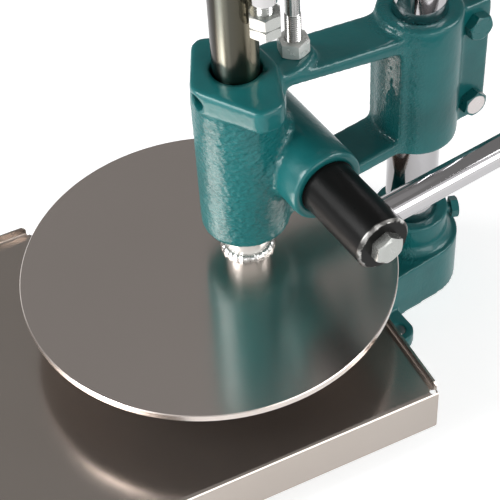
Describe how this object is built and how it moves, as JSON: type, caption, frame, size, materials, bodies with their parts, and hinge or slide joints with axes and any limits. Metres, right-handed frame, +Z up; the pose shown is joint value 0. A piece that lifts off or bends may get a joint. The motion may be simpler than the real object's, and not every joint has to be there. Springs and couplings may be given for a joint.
{
  "type": "pizza dough press",
  "caption": "Bench press for pizza dough: a lever turns a pinion that drives a rack-toothed ram and its round steel plate down onto a flat steel tray.",
  "frame": {"origin": "where the column's axis meets the bench, at the flat underside of the base bracket", "axes": "+Z up the column; +X from the ram toward the column and on past it, so the ram, plate and tray lie at -X; -Y is the lever's side"},
  "size_m": [0.6407, 0.2888, 0.3776],
  "materials": {
    "teal_casting": "glossy dark teal enamel over rough sand-cast iron",
    "teal_painted_bolt": "steel bolt painted over in dark teal",
    "tray_steel": "satin stainless sheet",
    "disc_steel": "satin stainless plate with a polished rim",
    "weld_steel": "bright weld bead",
    "ground_steel": "ground steel bar with a warm grey tone",
    "chrome_bar": "polished hard chrome",
    "zinc_steel": "bright zinc plate",
    "black_steel": "black oxide, worn bright on its edge",
    "knob_plastic": "glossy black moulding",
    "foot_rubber": "matt black rubber"
  },
  "bodies": {
    "stand": {"tray": "tray_steel", "tray_studs": "zinc_steel", "tray_washers": "zinc_steel", "tray_nuts": "zinc_steel", "feet": "foot_rubber", "foot_screws": "zinc_steel", "foot_nuts": "zinc_steel", "base_bracket": "teal_casting", "bracket_screw": "teal_painted_bolt", "column": "chrome_bar", "head_casting": "teal_casting", "head_bolts": "zinc_steel", "head_nuts": "zinc_steel", "grub_screw": "black_steel", "guide_stud": "zinc_steel", "stud_lock_nut": "zinc_steel", "stud_top_washer": "zinc_steel", "stud_top_nuts": "zinc_steel"},
    "ram_group": {"ram": "ground_steel", "press_disc": "disc_steel", "neck_weld": "weld_steel", "crosshead": "teal_casting", "crosshead_washer": "zinc_steel", "crosshead_bolt": "zinc_steel", "stop_rod": "chrome_bar", "stop_rod_nut": "zinc_steel", "stop_lock_nut": "zinc_steel", "stop_bolt": "zinc_steel"},
    "lever_group": {"pinion_shaft": "black_steel", "pinion_washer": "zinc_steel", "pinion_screw": "zinc_steel", "lever": "chrome_bar", "lever_bolt": "zinc_steel", "lever_knob": "knob_plastic"}
  },
  "joints": [
    {"name": "lever_swing", "type": "hinge", "parent": "stand", "child": "lever_group", "pos_m": [-0.102, 0, 0.1763], "axis": [0, -1, 0], "range_deg": [0, 119.9]},
    {"name": "ram_slide", "type": "slide", "parent": "stand", "child": "ram_group", "axis": [0, 0, 1], "range_m": [-0.0335, 0]}
  ],
  "couplings": [
    {"joint": "ram_slide", "follows": "lever_swing", "m_per_rad": -0.016}
  ]
}
